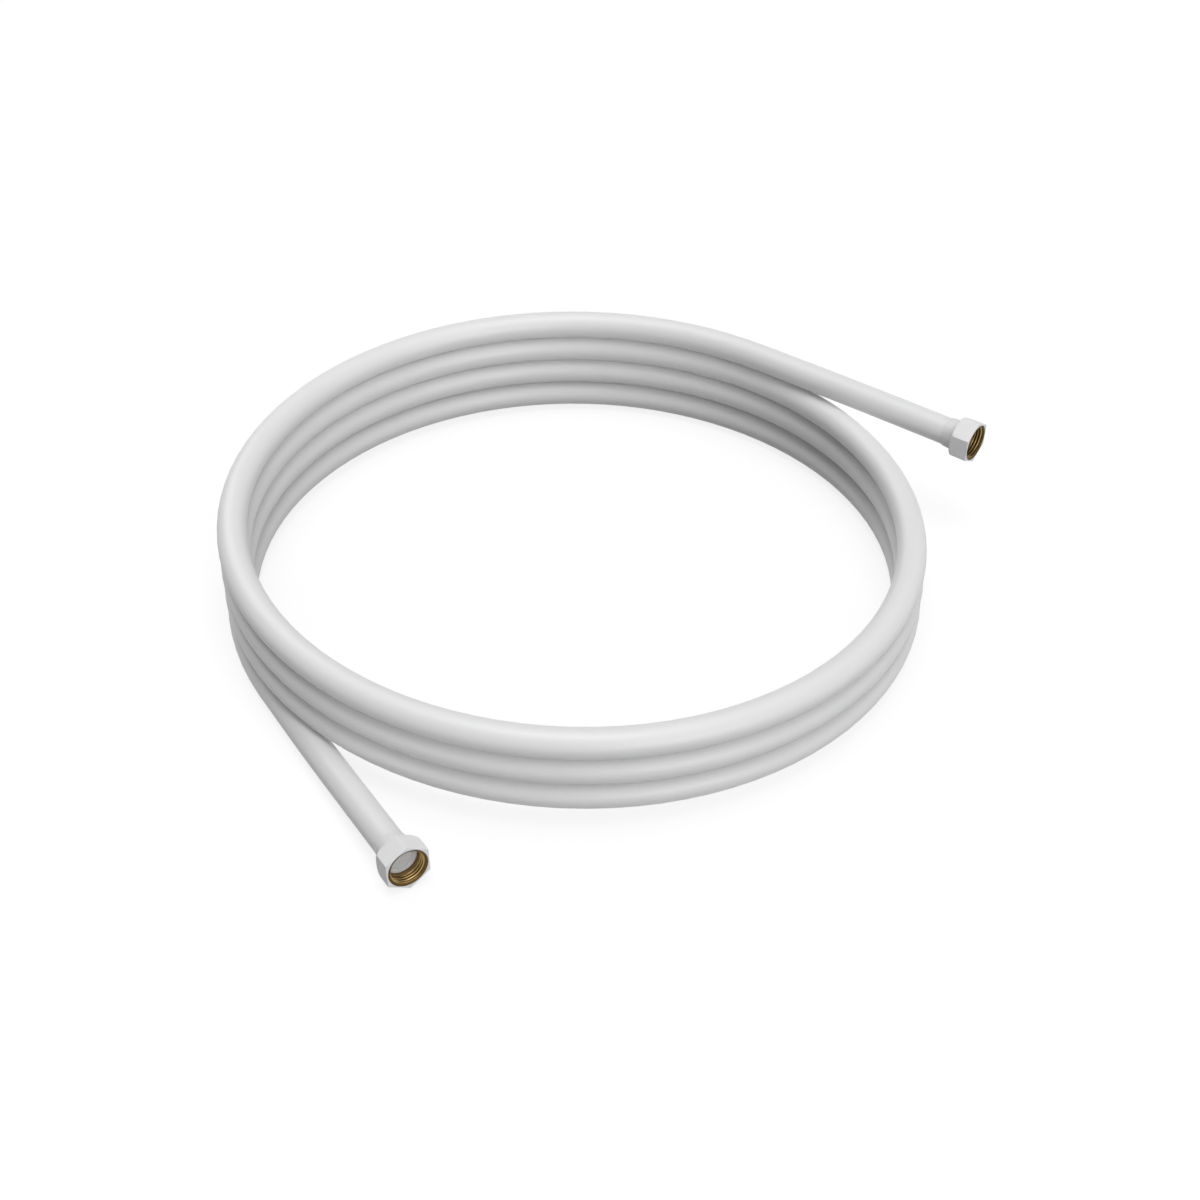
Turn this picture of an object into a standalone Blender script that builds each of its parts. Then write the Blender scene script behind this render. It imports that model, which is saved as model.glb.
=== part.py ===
"""Flexible hose with a G 1/2 swivel nut at each end, lying wound in a stacked coil.

Units are metres and +Z is up. The hose stands on the plane z = 0, and the origin is in that plane
under the middle of its bounding box. Its lower end leaves the coil along -Y, on the left.

The hose is one thick-walled tube. At each end a barbed tail is pushed into its bore, a crimped
ferrule closes round it, and a hexagon nut with an internal thread turns freely on the tail's neck,
held by the tail's flange. A flat washer lies on the flange inside each nut, and a strainer disc
fills the washer at the lower end, where the water comes in.
"""

from math import ceil, cos, pi, radians, sin

import bmesh
import bpy
from mathutils import Matrix, Vector

# %% Sizes of the hose and its coil
HOSE_OD = 0.0170
HOSE_WALL = 0.0030
COIL_RADIUS = 0.1980            # axis of the coil to the middle of the hose
TURNS = 3.44
TURN_GAP = 0.0003               # clear space between a turn and the one above
REST_ANGLE = radians(176.0)     # winding angle at which the lowest turn touches the floor again
CROSSING_LIFT = 0.0007          # the second turn climbs this much over the end that leaves below it
CROSSING_FROM = radians(235.0)
CROSSING_TO = radians(325.0)

# The free ends, measured level from where they leave the coil to the front face of the nut
LOWER_END = 0.1678
UPPER_END = 0.1580
FLOOR_RUN = 0.0350              # the lower end stays on the floor this far
RISE_RUN = 0.0500               # and bends up over this length, to lie on its nut
UPPER_SAG = 0.0016              # the upper end hangs down this much before its ferrule

# %% Sizes of the nut, thread G 1/2
NUT_ACROSS_FLATS = 0.0240
NUT_LENGTH = 0.0124
NUT_SHOULDER = 0.0032           # length and height of the turned shoulder at the back
NUT_BACK_WALL = 0.0012
THREAD_MINOR_D = 0.01863
MOUTH_D = 0.0219
MOUTH_CHAMFER = 0.0008
THREAD_LENGTH = 0.0064
RELIEF_D = 0.0213
RELIEF_WIDTH = 0.0009

# %% Sizes of the washer, strainer, tail and ferrule
WASHER_OD = 0.0186
WASHER_ID = 0.0130
WASHER_THICKNESS = 0.0014
STRAINER_THICKNESS = 0.0005
STRAINER_RECESS = 0.0003        # how far the strainer lies behind the washer's front
TAIL_FLANGE_D = 0.0170
TAIL_FLANGE_THICKNESS = 0.0009
TAIL_NECK_D = 0.0128
TAIL_BORE_D = 0.0064
TAIL_ROOT_D = 0.0082
BARBS = 3
BARB_PITCH = 0.0042
BARB_LAND = 0.0007
TAIL_NOSE = 0.0010
FERRULE_LENGTH = 0.0066
FERRULE_EDGE_RISE = 0.0003      # how far it stands proud of the hose at the hose side
FERRULE_CROWN_RISE = 0.0008     # and at its fullest
FERRULE_CROWN_AT = 0.0022       # its fullest place, behind its front
FERRULE_FRONT_DROP = 0.0008     # how much lower its front edge is than its fullest
FERRULE_LIP = 0.0008
FERRULE_SKIN = 0.0004           # wall at the hose-side edge
CRIMP_DEPTH = 0.0006            # the ferrule squeezes the hose's radius by this much
CRIMP_RUN = 0.0012

# %% Clearances
CLEARANCE = 0.0003              # between pieces that touch
RUNNING_CLEARANCE = 0.0004      # between the nut and the neck it turns on
NUT_TO_FERRULE = 0.0005         # the notch that shows behind the nut

# %% Fineness
POINTS_PER_TURN = 32
TUBE_RESOLUTION = 4
ROUND_STEPS = 36
TAIL_STEPS = 28
SHOULDER_STEPS = 4
CROWN_STEPS = 3
BEND_STEPS = 3
SHARP_EDGE = radians(35)
MERGE = 0.00001

# %% Values that follow from the sizes
HOSE_R = HOSE_OD / 2
PITCH = HOSE_OD + TURN_GAP
TUBE_SIDES = 4 + 2 * TUBE_RESOLUTION
NUT_CORNER_R = NUT_ACROSS_FLATS / 2 / cos(pi / 6)
THETA_END = 2 * pi * TURNS

# The bore behind the thread clears the washer and the flange that it lies on
SEAT_BORE_D = max(WASHER_OD, TAIL_FLANGE_D) + 2 * CLEARANCE
FERRULE_EDGE_D = HOSE_OD + 2 * FERRULE_EDGE_RISE
FERRULE_CROWN_D = HOSE_OD + 2 * FERRULE_CROWN_RISE

# Depths behind the nut's front face
BACK_WALL_AT = NUT_LENGTH - NUT_BACK_WALL
FLANGE_BACK = BACK_WALL_AT - CLEARANCE
FLANGE_FRONT = FLANGE_BACK - TAIL_FLANGE_THICKNESS
WASHER_BACK = FLANGE_FRONT - CLEARANCE
WASHER_FRONT = WASHER_BACK - WASHER_THICKNESS
FERRULE_FRONT = NUT_LENGTH + NUT_TO_FERRULE
FERRULE_BACK = FERRULE_FRONT + FERRULE_LENGTH
NECK_END = FERRULE_FRONT + FERRULE_LIP
HOSE_END = NECK_END + CLEARANCE
CRIMP_FROM = FERRULE_BACK + CRIMP_RUN
CRIMP_TO = FERRULE_BACK - CRIMP_RUN

# The tube is a prism of flats, so what goes inside it keeps clear of the flats
FLAT = cos(pi / TUBE_SIDES)
BARB_R = (HOSE_R - HOSE_WALL) * FLAT - CLEARANCE
SHANK_R = (HOSE_R - CRIMP_DEPTH - HOSE_WALL) * FLAT - CLEARANCE


def settled_lean():
    """Tilt of the coil that rests its lowest turn on the floor at angle 0 and at REST_ANGLE."""
    c = REST_ANGLE
    per_radian = PITCH / (2 * pi)
    across = per_radian * (sin(c) - c * cos(c)) / (1 - cos(c))
    along = per_radian * ((1 - cos(c)) - c * sin(c)) / (1 - cos(c))
    return across, along


def smooth_step(value):
    """Rises smoothly from 0 to 1 while value goes from 0 to 1."""
    t = min(max(value, 0.0), 1.0)
    return t * t * (3 - 2 * t)


# %% Place of the coil and of the two ends
LEAN_ACROSS, LEAN_ALONG = settled_lean()
RISE_CONTACT = LOWER_END - (NUT_LENGTH - NUT_SHOULDER)
RISE_SLOPE = (NUT_CORNER_R - HOSE_R) / (RISE_CONTACT - FLOOR_RUN - RISE_RUN / 2)
UPPER_BEND = UPPER_END - CRIMP_FROM
LEFT = -COIL_RADIUS - NUT_ACROSS_FLATS / 2
RIGHT = (-COIL_RADIUS * cos(THETA_END) + UPPER_END * sin(THETA_END)
         + NUT_ACROSS_FLATS / 2 * abs(cos(THETA_END)))
COIL_X = -(LEFT + RIGHT) / 2


def coil_point(theta):
    """Middle of the hose after winding theta radians up from the lower end."""
    height = (HOSE_R + PITCH * theta / (2 * pi)
              - LEAN_ACROSS * (1 - cos(theta)) + LEAN_ALONG * sin(theta))
    height += CROSSING_LIFT * smooth_step((theta - CROSSING_FROM) / (CROSSING_TO - CROSSING_FROM))
    return Vector((COIL_X - COIL_RADIUS * cos(theta), COIL_RADIUS * sin(theta), height))


def lower_point(run):
    """Middle of the hose on the lower end, run metres level from the coil towards -Y."""
    past = run - FLOOR_RUN
    if past <= 0:
        rise = 0.0
    elif past < RISE_RUN:
        rise = RISE_SLOPE * past * past / (2 * RISE_RUN)
    else:
        rise = RISE_SLOPE * (past - RISE_RUN / 2)
    return Vector((COIL_X - COIL_RADIUS, -run, HOSE_R + rise))


def upper_point(run):
    """Middle of the hose on the upper end, run metres level from the coil."""
    bent = min(run, UPPER_BEND) / UPPER_BEND
    drop = UPPER_SAG * (bent * bent + 2 * max(run / UPPER_BEND - 1, 0.0))
    level = Vector((sin(THETA_END), cos(THETA_END), 0))
    return coil_point(THETA_END) + run * level - Vector((0, 0, drop))


LOWER_AXIS = Vector((0, -1, RISE_SLOPE)).normalized()
LOWER_FACE = lower_point(LOWER_END)
UPPER_AXIS = Vector((sin(THETA_END), cos(THETA_END), -2 * UPPER_SAG / UPPER_BEND)).normalized()
UPPER_FACE = upper_point(UPPER_END)


# %% Scene and collections
def clear_scene():
    """Removes every object, mesh, curve, material and collection of the open file."""
    for item in list(bpy.data.objects):
        bpy.data.objects.remove(item, do_unlink=True)
    for group in (bpy.data.meshes, bpy.data.curves, bpy.data.materials, bpy.data.collections):
        for item in list(group):
            group.remove(item)


def new_collection(name):
    """Makes a collection in the scene."""
    group = bpy.data.collections.new(name)
    bpy.context.scene.collection.children.link(group)
    return group


clear_scene()
PARTS = new_collection("flexible_hose")
CUTTERS = new_collection("flexible_hose_cutters")


def material(name, colour, roughness, metallic=0.0):
    """A Principled material."""
    made = bpy.data.materials.new(name)
    made.use_nodes = True
    shader = made.node_tree.nodes["Principled BSDF"]
    shader.inputs["Base Color"].default_value = (*colour, 1.0)
    shader.inputs["Roughness"].default_value = roughness
    shader.inputs["Metallic"].default_value = metallic
    made.diffuse_color = (*colour, 1.0)
    return made


WHITE = (0.78, 0.78, 0.79)
BRASS = (0.70, 0.50, 0.24)
GREY = (0.50, 0.50, 0.50)
STEEL = (0.55, 0.55, 0.54)


def make_cutter(item):
    """Keeps an object out of the model: it only shapes others."""
    item.hide_render = True
    item.display_type = 'WIRE'
    PARTS.objects.unlink(item)
    CUTTERS.objects.link(item)
    return item


# %% Shapes
def turned(name, profile, steps, parent, closed=True):
    """Turns a profile of (radius, height) points round Z, its outer side listed top to bottom."""
    mesh = bpy.data.meshes.new(name)
    edges = [(i, i + 1) for i in range(len(profile) - 1)]
    if closed:
        edges.append((len(profile) - 1, 0))
    mesh.from_pydata([(r, 0.0, z) for r, z in profile], edges, [])
    item = bpy.data.objects.new(name, mesh)
    PARTS.objects.link(item)
    item.parent = parent
    screw = item.modifiers.new("turn", 'SCREW')
    screw.axis = 'Z'
    screw.angle = 2 * pi
    screw.steps = steps
    screw.render_steps = steps
    screw.use_merge_vertices = True
    screw.merge_threshold = MERGE
    screw.use_smooth_shade = False
    return item


def fitting_frame(name, face, axis):
    """An empty at the middle of a nut's front face, its Z out of the mouth and its Y upward."""
    z = axis.normalized()
    y = (Vector((0, 0, 1)) - z * z.z).normalized()
    x = y.cross(z)
    frame = bpy.data.objects.new(name, None)
    frame.empty_display_size = NUT_ACROSS_FLATS
    PARTS.objects.link(frame)
    frame.matrix_world = Matrix.Translation(face) @ Matrix((x, y, z)).transposed().to_4x4()
    return frame


def hexagon_nut(name, parent):
    """Hexagon bar turned to a shoulder at the back and bored from the front."""
    mesh = bpy.data.meshes.new(name)
    form = bmesh.new()
    bmesh.ops.create_cone(form, cap_ends=True, segments=6, radius1=NUT_CORNER_R,
                          radius2=NUT_CORNER_R, depth=NUT_LENGTH,
                          matrix=Matrix.Translation((0, 0, -NUT_LENGTH / 2)))
    form.to_mesh(mesh)
    form.free()
    nut = bpy.data.objects.new(name, mesh)
    PARTS.objects.link(nut)
    nut.parent = parent

    # The turned envelope: its shoulder is a quarter round, and the rest stands clear of the bar
    outside = NUT_CORNER_R + NUT_SHOULDER
    envelope = [(0, NUT_SHOULDER), (outside, NUT_SHOULDER),
                (outside, NUT_SHOULDER - NUT_LENGTH), (NUT_CORNER_R, NUT_SHOULDER - NUT_LENGTH)]
    for i in range(1, SHOULDER_STEPS + 1):
        a = pi / 2 * i / SHOULDER_STEPS
        envelope.append((NUT_CORNER_R - NUT_SHOULDER * (1 - cos(a)),
                         NUT_SHOULDER - NUT_LENGTH - NUT_SHOULDER * sin(a)))
    envelope.append((0, -NUT_LENGTH))
    shape = make_cutter(turned(name + "_envelope", envelope, ROUND_STEPS, parent, closed=False))

    neck_hole = TAIL_NECK_D / 2 + RUNNING_CLEARANCE
    over = NUT_BACK_WALL            # how far the cutter reaches past both faces
    slope = (MOUTH_D - THREAD_MINOR_D) / 2 / MOUTH_CHAMFER
    bore = [(0, over), (MOUTH_D / 2 + slope * over, over),
            (THREAD_MINOR_D / 2, -MOUTH_CHAMFER),
            (THREAD_MINOR_D / 2, -THREAD_LENGTH),
            (RELIEF_D / 2, -THREAD_LENGTH),
            (RELIEF_D / 2, -THREAD_LENGTH - RELIEF_WIDTH),
            (SEAT_BORE_D / 2, -THREAD_LENGTH - RELIEF_WIDTH),
            (SEAT_BORE_D / 2, -BACK_WALL_AT),
            (neck_hole, -BACK_WALL_AT),
            (neck_hole, -NUT_LENGTH - over),
            (0, -NUT_LENGTH - over)]
    hole = make_cutter(turned(name + "_bore", bore, ROUND_STEPS, parent, closed=False))

    for label, operation, other in (("shoulder", 'INTERSECT', shape), ("bore", 'DIFFERENCE', hole)):
        cut = nut.modifiers.new(label, 'BOOLEAN')
        cut.operation = operation
        cut.solver = 'EXACT'
        cut.object = other
    return nut


def washer(name, parent):
    """Flat ring that lies on the tail's flange."""
    return turned(name, [(WASHER_OD / 2, -WASHER_FRONT), (WASHER_OD / 2, -WASHER_BACK),
                         (WASHER_ID / 2, -WASHER_BACK), (WASHER_ID / 2, -WASHER_FRONT)],
                  ROUND_STEPS, parent)


def strainer(name, parent):
    """Disc of fine mesh held in the washer's hole."""
    radius = WASHER_ID / 2 - CLEARANCE
    front = WASHER_FRONT + STRAINER_RECESS
    return turned(name, [(0, -front), (radius, -front), (radius, -front - STRAINER_THICKNESS),
                         (0, -front - STRAINER_THICKNESS)], TAIL_STEPS, parent, closed=False)


def tail(name, parent):
    """Flange, neck and barbed shank with one bore through them."""
    outer = [(TAIL_FLANGE_D / 2, -FLANGE_FRONT), (TAIL_FLANGE_D / 2, -FLANGE_BACK),
             (TAIL_NECK_D / 2, -FLANGE_BACK), (TAIL_NECK_D / 2, -NECK_END),
             (SHANK_R, -NECK_END), (SHANK_R, -CRIMP_FROM)]
    depth = CRIMP_FROM
    for _ in range(BARBS):
        outer.append((BARB_R, -depth - BARB_LAND))
        outer.append((BARB_R, -depth - 2 * BARB_LAND))
        depth += BARB_PITCH
        outer.append((TAIL_ROOT_D / 2, -depth))
    inner = [(TAIL_BORE_D / 2, -depth - TAIL_NOSE), (TAIL_BORE_D / 2, -FLANGE_FRONT)]
    return turned(name, outer + inner, TAIL_STEPS, parent)


def ferrule(name, parent):
    """Crimped cap over the hose's end, with a lip round the tail's neck."""
    crimped = HOSE_R - CRIMP_DEPTH + CLEARANCE
    outer = []
    for i in range(CROWN_STEPS + 1):
        a = pi / 2 * i / CROWN_STEPS
        outer.append((FERRULE_CROWN_D / 2 - FERRULE_FRONT_DROP * (1 - sin(a)),
                      -FERRULE_FRONT - FERRULE_CROWN_AT * (1 - cos(a))))
    outer.append((FERRULE_EDGE_D / 2, -FERRULE_BACK))
    inner = [(FERRULE_EDGE_D / 2 - FERRULE_SKIN, -FERRULE_BACK),
             (crimped, -CRIMP_TO), (crimped, -NECK_END),
             (TAIL_NECK_D / 2 + CLEARANCE, -NECK_END), (TAIL_NECK_D / 2 + CLEARANCE, -FERRULE_FRONT)]
    return turned(name, outer + inner, ROUND_STEPS, parent)


def route():
    """Points of the hose's middle with the share of its full radius, from the lower end up."""
    crimp = 1 - CRIMP_DEPTH / HOSE_R
    edge = 1 - (CRIMP_DEPTH / 2) / HOSE_R
    fitted = [(HOSE_END, crimp), (CRIMP_TO, crimp), (FERRULE_BACK, edge), (CRIMP_FROM, 1.0)]
    points = [(LOWER_FACE - depth * LOWER_AXIS, share) for depth, share in fitted]
    spacing = 2 * pi * COIL_RADIUS / POINTS_PER_TURN
    bend = FLOOR_RUN + RISE_RUN
    straight = LOWER_END - CRIMP_FROM - bend
    count = ceil(straight / spacing)
    points += [(lower_point(bend + straight * (1 - i / count)), 1.0) for i in range(1, count + 1)]
    points += [(lower_point(FLOOR_RUN + RISE_RUN * i / BEND_STEPS), 1.0)
               for i in reversed(range(BEND_STEPS))]
    count = ceil(TURNS * POINTS_PER_TURN)
    points += [(coil_point(THETA_END * i / count), 1.0) for i in range(count + 1)]
    count = ceil(UPPER_BEND / spacing)
    points += [(upper_point(UPPER_BEND * i / count), 1.0) for i in range(1, count)]
    points += [(UPPER_FACE - depth * UPPER_AXIS, share) for depth, share in reversed(fitted)]
    return points


def hose_tube(name):
    """Sweeps the tube's outside along its route and gives it its wall."""
    points = route()
    curve = bpy.data.curves.new(name + "_route", 'CURVE')
    curve.dimensions = '3D'
    curve.twist_mode = 'Z_UP'
    curve.bevel_depth = HOSE_R
    curve.bevel_resolution = TUBE_RESOLUTION
    curve.use_fill_caps = False
    line = curve.splines.new('POLY')
    line.points.add(len(points) - 1)
    for point, (place, share) in zip(line.points, points):
        point.co = (*place, 1.0)
        point.radius = share
    guide = bpy.data.objects.new(name + "_route", curve)
    PARTS.objects.link(guide)
    bpy.context.view_layer.update()
    swept = guide.evaluated_get(bpy.context.evaluated_depsgraph_get())
    mesh = bpy.data.meshes.new_from_object(swept)
    mesh.name = name
    tube = bpy.data.objects.new(name, mesh)
    tube.matrix_world = guide.matrix_world.copy()
    PARTS.objects.link(tube)
    bpy.data.objects.remove(guide, do_unlink=True)
    wall = tube.modifiers.new("wall", 'SOLIDIFY')
    wall.thickness = HOSE_WALL
    wall.offset = -1.0
    wall.use_even_offset = True
    wall.use_rim = True
    return tube


# %% The pieces
def finish(item, made):
    """Gives a piece its own material and smooth shading between its round facets."""
    item.data.materials.clear()
    item.data.materials.append(made)
    if item.data.polygons:
        item.data.shade_smooth()
        item.data.set_sharp_from_angle(angle=SHARP_EDGE)
    for step in item.modifiers:
        if step.type == 'SCREW':
            step.use_smooth_shade = True
    return item


finish(hose_tube("hose"), material("hose_pvc", WHITE, 0.38))

for place, face, axis in (("lower", LOWER_FACE, LOWER_AXIS), ("upper", UPPER_FACE, UPPER_AXIS)):
    end = fitting_frame(place + "_end", face, axis)
    finish(hexagon_nut(place + "_nut", end), material(place + "_nut_coated", WHITE, 0.32))
    finish(washer(place + "_washer", end), material(place + "_washer_rubber", GREY, 0.75))
    finish(tail(place + "_tail", end), material(place + "_tail_brass", BRASS, 0.3, 1.0))
    finish(ferrule(place + "_ferrule", end), material(place + "_ferrule_white", WHITE, 0.35))
    if place == "lower":
        finish(strainer(place + "_strainer", end), material(place + "_strainer_steel", STEEL, 0.4, 1.0))

bpy.context.view_layer.update()
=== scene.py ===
# %% [markdown]
# # A flexible hose in a coil
#
# A shower hose is one long thick-walled tube with a fitting at each end. Here it lies wound in
# nearly three and a half turns on a pale floor. The lesson sets up the camera and works out where
# the hose runs. Then come the finishes, the hose, the nuts with their threads, the small pieces
# inside them, and last the floor and the light. All lengths are in metres.

# %% Load the measured model
from collections import namedtuple
from math import ceil, cos, pi, radians, sin

import bpy
from mathutils import Euler, Matrix, Vector


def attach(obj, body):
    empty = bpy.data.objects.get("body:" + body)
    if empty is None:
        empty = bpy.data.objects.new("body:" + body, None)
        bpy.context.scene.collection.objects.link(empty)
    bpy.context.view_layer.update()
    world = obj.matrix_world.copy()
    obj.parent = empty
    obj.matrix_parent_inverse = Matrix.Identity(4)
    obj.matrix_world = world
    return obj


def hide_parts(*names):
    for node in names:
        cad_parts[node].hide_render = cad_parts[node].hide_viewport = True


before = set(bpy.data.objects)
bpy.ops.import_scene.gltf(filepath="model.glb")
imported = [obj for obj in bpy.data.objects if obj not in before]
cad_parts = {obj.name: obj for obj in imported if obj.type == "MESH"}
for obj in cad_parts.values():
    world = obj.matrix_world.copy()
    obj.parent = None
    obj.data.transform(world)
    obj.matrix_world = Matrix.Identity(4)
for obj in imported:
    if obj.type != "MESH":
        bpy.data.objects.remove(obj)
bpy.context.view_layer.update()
bpy.context.scene.view_settings.view_transform = 'Standard'
print("solids:", ", ".join(sorted(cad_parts)))

# %% [markdown]
# ## The camera
#
# A photograph taken from close by shows the near turns larger than the far ones. The place and
# the lens below were worked out from the outline of the coil: the camera stands about 1.1 m away,
# to the left of the free end, and looks down at 39 degrees.

# %% Camera
CAMERA_PLACE = Vector((-0.48409, -0.78171, 0.72537))
CAMERA_TURN = radians(-31.564)
CAMERA_DIP = radians(39.110)
LENS, SENSOR = 57.57, 36.0

camera_data = bpy.data.cameras.new("photo_camera")
camera_data.lens = LENS
camera_data.sensor_width = SENSOR
camera_data.sensor_fit = 'HORIZONTAL'
camera = bpy.data.objects.new("photo_camera", camera_data)
camera.location = CAMERA_PLACE
camera.rotation_euler = Euler((pi / 2 - CAMERA_DIP, 0.0, CAMERA_TURN))
bpy.context.scene.collection.objects.link(camera)
bpy.context.scene.camera = camera
print("camera lens", LENS, "mm")

# %% [markdown]
# ## Where the hose runs
#
# The hose climbs by one pitch each turn, like a screw thread, so the stack leans a little until its
# lowest turn rests on the floor on both sides. Where the second turn passes over the end that
# leaves below it, it is lifted a hair more. The lower end first stays on the floor, then bends up
# to lie on the corner of its nut. The upper end hangs free and sags a little.
#
# A loop that follows this rule gives cleaner points than a list typed by hand.

# %% Sizes of the route
HOSE_R = 0.0085
WALL = 0.0030
PITCH = 0.0173
COIL_R = 0.1980
COIL_X = -0.0217084
TURNS = 3.44
REST_ANGLE = radians(176.0)              # the lowest turn touches the floor at 0 and here
LIFT, LIFT_FROM, LIFT_TO = 0.0007, radians(235.0), radians(325.0)
INSET, INSET_FROM, INSET_OVER = 0.00017, 0.7, 0.3
LOWER_END, UPPER_END = 0.1678, 0.1580    # from the coil to the faces of the nuts
FLOOR_RUN, RISE_RUN = 0.0350, 0.0500     # the lower end lies flat, then bends up
UPPER_SAG = 0.0016
NUT_LENGTH, NUT_SHOULDER = 0.0124, 0.0032
NUT_FLAT_R = 0.0120
NUT_CORNER_R = NUT_FLAT_R / cos(pi / 6)
CRIMP = 0.0006                           # what the ferrule takes off the radius of the hose
HOSE_FROM_FACE = 0.0140
CRIMP_TO, FERRULE_BACK, CRIMP_FROM = 0.0183, 0.0195, 0.0207
UPPER_BEND = UPPER_END - CRIMP_FROM

per_radian = PITCH / (2 * pi)
c = REST_ANGLE
lean_across = per_radian * (sin(c) - c * cos(c)) / (1 - cos(c))
lean_along = per_radian * ((1 - cos(c)) - c * sin(c)) / (1 - cos(c))
rise_slope = (NUT_CORNER_R - HOSE_R) / (LOWER_END - NUT_LENGTH + NUT_SHOULDER - FLOOR_RUN - RISE_RUN / 2)
print("the coil leans", round(1000 * lean_along, 2), "mm; the end rises", round(rise_slope, 4))


# %% Points of the route
def smooth_step(value):
    """Rises smoothly from 0 to 1."""
    t = min(max(value, 0.0), 1.0)
    return t * t * (3 - 2 * t)


def coil_point(angle):
    """Middle of the hose after winding by angle, from the lower end up.

    The measured tube is a coarser polygon, so this one is drawn in a hair at the front and back.
    """
    z = HOSE_R + per_radian * angle - lean_across * (1 - cos(angle)) + lean_along * sin(angle)
    z += LIFT * smooth_step((angle - LIFT_FROM) / (LIFT_TO - LIFT_FROM))
    drawn_in = INSET * smooth_step((abs(sin(angle)) - INSET_FROM) / INSET_OVER)
    return Vector((COIL_X - COIL_R * cos(angle), (COIL_R - drawn_in) * sin(angle), z))


def lower_point(run):
    """Middle of the lower end, run metres level from the coil."""
    past = max(run - FLOOR_RUN, 0.0)
    rise = rise_slope * (past * past / (2 * RISE_RUN) if past < RISE_RUN else past - RISE_RUN / 2)
    return Vector((COIL_X - COIL_R, -run, HOSE_R + rise))


def upper_point(run):
    """Middle of the upper end, run metres from the coil. It sags until its fitting begins."""
    share = min(run, UPPER_BEND) / UPPER_BEND
    drop = UPPER_SAG * (share * share + 2 * max(run / UPPER_BEND - 1, 0.0))
    level = Vector((sin(end_angle), cos(end_angle), 0))
    return coil_point(end_angle) + run * level - Vector((0, 0, drop))


end_angle = 2 * pi * TURNS
lower_axis = Vector((0, -1, rise_slope)).normalized()
lower_face = lower_point(LOWER_END)
upper_axis = Vector((sin(end_angle), cos(end_angle), -2 * UPPER_SAG / UPPER_BEND)).normalized()
upper_face = upper_point(UPPER_END)
print("nut faces:", [round(v, 4) for v in lower_face], [round(v, 4) for v in upper_face])

# %% [markdown]
# Under each ferrule the hose is squeezed thinner. A curve point's radius scales the tube there, so
# the squeeze is just a smaller radius at the last few points.

# %% The whole route with its radii
POINTS_PER_TURN = 96
RISE_STEPS, SAG_STEPS = 8, 14
BEHIND_NUT = (0.028, 0.042, 0.060)
# Each pair is a depth behind the nut's face and the share of the squeeze there.
SQUEEZE = [(HOSE_FROM_FACE, 1.0), (0.0162, 1.0), (CRIMP_TO, 1.0), (0.0189, 0.82), (FERRULE_BACK, 0.5),
           (0.0201, 0.18), (CRIMP_FROM, 0.0)]

fitted = [(depth, 1 - part * CRIMP / HOSE_R) for depth, part in SQUEEZE]
route = [(lower_face - depth * lower_axis, share) for depth, share in fitted]
runs = [LOWER_END - behind for behind in BEHIND_NUT]
runs += [FLOOR_RUN + RISE_RUN * i / RISE_STEPS for i in range(RISE_STEPS, -1, -1)]
runs += [FLOOR_RUN * 2 / 3, FLOOR_RUN / 3]
route += [(lower_point(run), 1.0) for run in runs]
count = ceil(TURNS * POINTS_PER_TURN)
route += [(coil_point(end_angle * i / count), 1.0) for i in range(count + 1)]
route += [(upper_point(UPPER_BEND * i / SAG_STEPS), 1.0) for i in range(1, SAG_STEPS)]
route += [(upper_face - depth * upper_axis, share) for depth, share in reversed(fitted)]
hose_length = sum((b[0] - a[0]).length for a, b in zip(route, route[1:]))
print("hose length", round(hose_length, 3), "m in", len(route), "points")

# %% [markdown]
# ## Fields as sums
#
# Geometry Nodes and shaders both do arithmetic with Math nodes. A small class that wraps a socket
# and overloads the operators lets the rest of the lesson write `radius * angle.cos()` and get the
# nodes for it.


# %% A socket that can be added and multiplied
class Field:
    """One output socket in a node tree, with the operators that this lesson uses."""

    def __init__(self, tree, socket):
        self.tree = tree
        self.socket = socket

    def node(self, kind, settings=None, **sockets):
        """Adds a node, sets its settings first, then feeds its inputs by name or number."""
        made = self.tree.nodes.new(kind)
        for name, value in (settings or {}).items():
            setattr(made, name, value)
        for name, value in sockets.items():
            key = int(name[2:]) if name.startswith("in") else name.replace("_", " ")
            self.feed(made.inputs[key], value)
        return made

    def feed(self, socket, value):
        """Links a field or sets a plain value."""
        if isinstance(value, Field):
            self.tree.links.new(value.socket, socket)
        else:
            socket.default_value = value

    def math(self, operation, *values):
        """One Math node of this field and up to two more values."""
        made = self.tree.nodes.new('ShaderNodeMath')
        made.operation = operation
        self.feed(made.inputs[0], self)
        for i, value in enumerate(values):
            self.feed(made.inputs[i + 1], value)
        return Field(self.tree, made.outputs[0])

    def __add__(self, other):
        return self.math('ADD', other)

    __radd__ = __add__

    def __mul__(self, other):
        return self.math('MULTIPLY', other)

    __rmul__ = __mul__

    def __sub__(self, other):
        return self.math('SUBTRACT', other)

    def __rsub__(self, other):
        return (self * -1) + other

    def __truediv__(self, other):
        return self.math('DIVIDE', other)

    def cos(self):
        return self.math('COSINE')

    def sin(self):
        return self.math('SINE')

    def abs(self):
        return self.math('ABSOLUTE')

    def clamp(self, low=0.0, high=1.0):
        return self.math('MAXIMUM', low).math('MINIMUM', high)

    def out(self, made, name):
        """Another node's output as a field."""
        return Field(self.tree, made.outputs[name])


def start(tree):
    """A field with no socket yet, to begin an expression in a tree."""
    return Field(tree, None)


def split(field, vector):
    """The three numbers of a vector."""
    made = field.node('ShaderNodeSeparateXYZ', in0=vector)
    return [Field(field.tree, made.outputs[i]) for i in range(3)]


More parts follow.
